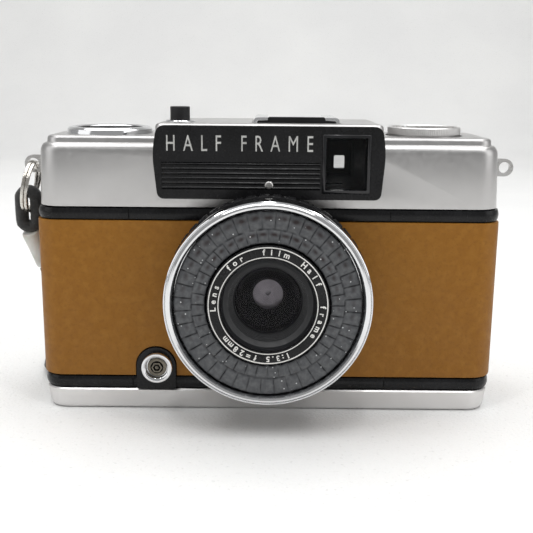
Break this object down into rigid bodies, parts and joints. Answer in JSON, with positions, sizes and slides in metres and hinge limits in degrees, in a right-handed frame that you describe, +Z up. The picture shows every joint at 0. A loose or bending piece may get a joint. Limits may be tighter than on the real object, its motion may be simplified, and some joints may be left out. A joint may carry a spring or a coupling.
{
  "type": "half frame camera",
  "caption": "Compact half frame 35 mm film camera with tan leather, ring-shaped light cell around the lens, hot shoe, hinged back and wrist strap",
  "frame": {"origin": "on the underside of the bottom cover, below the lens axis and halfway through the body's thickness", "axes": "+X to the right seen from the front, +Y from the lens towards the back door, +Z up"},
  "size_m": [0.1233, 0.0957, 0.0726],
  "materials": {
    "satin_metal": "satin chromed",
    "chrome": "polished",
    "steel": "bright steel",
    "black_paint": "satin black enamel",
    "black_casting": "matt black",
    "tan_leather": "smooth tan leather",
    "black_plastic": "moulded",
    "lens_glass": "coated glass",
    "cell_window": "pebbled clear plastic over a grey cell",
    "selenium": "dark grey selenium",
    "dial_white": "white dial",
    "flag_red": "clear red",
    "brass": "plain",
    "strap_cord": "black braided cord",
    "strap_ferrule": "pale grey sleeve"
  },
  "bodies": {
    "camera_body": {"top_cover": "satin_metal", "bottom_cover": "satin_metal", "chrome_rim": "chrome", "shutter_collar": "chrome", "hot_shoe": "chrome", "counter_bezel": "chrome", "sync_socket_shell": "chrome", "left_strap_lug": "steel", "right_strap_lug": "steel", "bottom_screw_left": "steel", "bottom_screw_right": "steel", "hinge_pin": "steel", "tripod_socket": "steel", "front_plate": "black_paint", "upper_band": "black_paint", "lower_band": "black_paint", "name_ring": "black_paint", "lens_barrel": "black_paint", "chassis": "black_casting", "shutter_housing": "black_casting", "front_leather": "tan_leather", "finder_frame": "black_plastic", "eyepiece_frame": "black_plastic", "shoe_insulator": "black_plastic", "sync_socket_core": "black_plastic", "front_element": "lens_glass", "rear_element": "lens_glass", "finder_objective": "lens_glass", "eyepiece_lens": "lens_glass", "counter_window": "lens_glass", "cell_window": "cell_window", "selenium_cell": "selenium", "meter_housing": "brass", "strap_cord": "strap_cord"},
    "shutter_button": {"shutter_button": "black_plastic"},
    "aperture_ring": {"aperture_ring": "black_paint"},
    "film_speed_ring": {"film_speed_ring": "black_paint"},
    "rewind_sleeve": {"rewind_sleeve": "brass"},
    "rewind_knob": {"rewind_knob": "satin_metal", "rewind_shaft": "steel"},
    "rewind_crank": {"rewind_crank": "steel"},
    "crank_knob": {"crank_knob": "black_plastic"},
    "advance_wheel": {"advance_wheel": "black_paint"},
    "take_up_spool": {"take_up_spool": "black_plastic"},
    "sprocket": {"sprocket": "black_plastic"},
    "counter_dial": {"counter_dial": "dial_white"},
    "back_door": {"back_door": "black_casting", "back_leather": "tan_leather"},
    "pressure_plate": {"pressure_plate": "black_casting"},
    "door_latch": {"door_latch": "chrome"},
    "rewind_release": {"rewind_release": "chrome"},
    "aperture_blade_upper": {"aperture_blade_upper": "steel"},
    "aperture_blade_lower": {"aperture_blade_lower": "steel"},
    "shutter_blade_left": {"shutter_blade_left": "steel"},
    "shutter_blade_right": {"shutter_blade_right": "steel"},
    "meter_needle": {"meter_needle": "steel"},
    "low_light_flag": {"low_light_flag": "flag_red"},
    "strap_ring": {"split_ring": "steel", "strap_eye": "strap_cord", "strap_ferrule": "strap_ferrule"}
  },
  "joints": [
    {"name": "button_press", "type": "slide", "parent": "camera_body", "child": "shutter_button", "axis": [0, 0, -1], "range_m": [0, 0.002], "stiffness_N_per_m": 300},
    {"name": "aperture_turn", "type": "hinge", "parent": "camera_body", "child": "aperture_ring", "pos_m": [0, 0, 0.031], "axis": [0, -1, 0], "range_deg": [0, 120]},
    {"name": "film_speed_turn", "type": "hinge", "parent": "camera_body", "child": "film_speed_ring", "pos_m": [0, 0, 0.031], "axis": [0, -1, 0], "range_deg": [0, 90]},
    {"name": "rewind_lift", "type": "slide", "parent": "camera_body", "child": "rewind_sleeve", "axis": [0, 0, 1], "range_m": [0, 0.006]},
    {"name": "rewind_turn", "type": "hinge", "parent": "rewind_sleeve", "child": "rewind_knob", "pos_m": [0.0378, -0.0002, 0.063], "axis": [0, 0, 1], "continuous": true},
    {"name": "crank_unfold", "type": "hinge", "parent": "rewind_knob", "child": "rewind_crank", "pos_m": [0.0444, -0.0002, 0.068], "axis": [0, 1, 0], "range_deg": [0, 150]},
    {"name": "crank_knob_spin", "type": "hinge", "parent": "rewind_crank", "child": "crank_knob", "pos_m": [0.0332, -0.0002, 0.0663], "axis": [0, 0, 1], "continuous": true},
    {"name": "advance_turn", "type": "hinge", "parent": "camera_body", "child": "advance_wheel", "pos_m": [-0.0383, 0.0055, 0.0539], "axis": [0, 0, 1], "continuous": true},
    {"name": "take_up_turn", "type": "hinge", "parent": "camera_body", "child": "take_up_spool", "pos_m": [-0.0383, 0, 0.026], "axis": [0, 0, 1], "continuous": true},
    {"name": "sprocket_turn", "type": "hinge", "parent": "camera_body", "child": "sprocket", "pos_m": [-0.0182, 0.002, 0.026], "axis": [0, 0, 1], "continuous": true},
    {"name": "counter_turn", "type": "hinge", "parent": "camera_body", "child": "counter_dial", "pos_m": [-0.039, 0, 0.065], "axis": [0, 0, 1], "continuous": true},
    {"name": "door_open", "type": "hinge", "parent": "camera_body", "child": "back_door", "pos_m": [-0.0539, 0.00865, 0.0277], "axis": [0, 0, 1], "range_deg": [0, 90]},
    {"name": "plate_spring", "type": "slide", "parent": "back_door", "child": "pressure_plate", "axis": [0, 1, 0], "range_m": [0, 0.0008], "stiffness_N_per_m": 300},
    {"name": "latch_slide", "type": "slide", "parent": "camera_body", "child": "door_latch", "axis": [0, 0, -1], "range_m": [0, 0.003], "stiffness_N_per_m": 200},
    {"name": "release_press", "type": "slide", "parent": "camera_body", "child": "rewind_release", "axis": [0, 0, 1], "range_m": [0, 0.0015], "stiffness_N_per_m": 300},
    {"name": "aperture_open", "type": "slide", "parent": "camera_body", "child": "aperture_blade_upper", "axis": [0, 0, 1], "range_m": [0, 0.0024], "stiffness_N_per_m": 20},
    {"name": "aperture_follow", "type": "slide", "parent": "camera_body", "child": "aperture_blade_lower", "axis": [0, 0, -1], "range_m": [0, 0.0024], "stiffness_N_per_m": 20},
    {"name": "shutter_open", "type": "slide", "parent": "camera_body", "child": "shutter_blade_left", "axis": [-1, 0, 0], "range_m": [0, 0.005], "stiffness_N_per_m": 20},
    {"name": "shutter_follow", "type": "slide", "parent": "camera_body", "child": "shutter_blade_right", "axis": [1, 0, 0], "range_m": [0, 0.005], "stiffness_N_per_m": 20},
    {"name": "needle_swing", "type": "hinge", "parent": "camera_body", "child": "meter_needle", "pos_m": [-0.007, 0.0035, 0.0598], "axis": [0, 0, 1], "range_deg": [-15, 15]},
    {"name": "flag_rise", "type": "hinge", "parent": "camera_body", "child": "low_light_flag", "pos_m": [0.0088, -0.00805, 0.0522], "axis": [0, -1, 0], "range_deg": [0, 40]},
    {"name": "strap_ring_swing", "type": "hinge", "parent": "camera_body", "child": "strap_ring", "pos_m": [-0.0581, 0, 0.0585], "axis": [0, 1, 0], "range_deg": [0, 45]}
  ],
  "couplings": [
    {"joint": "take_up_turn", "follows": "advance_turn", "ratio": 1},
    {"joint": "sprocket_turn", "follows": "advance_turn", "ratio": -1.2},
    {"joint": "counter_turn", "follows": "advance_turn", "ratio": 0.0324},
    {"joint": "aperture_follow", "follows": "aperture_open", "ratio": 1},
    {"joint": "shutter_follow", "follows": "shutter_open", "ratio": 1}
  ]
}
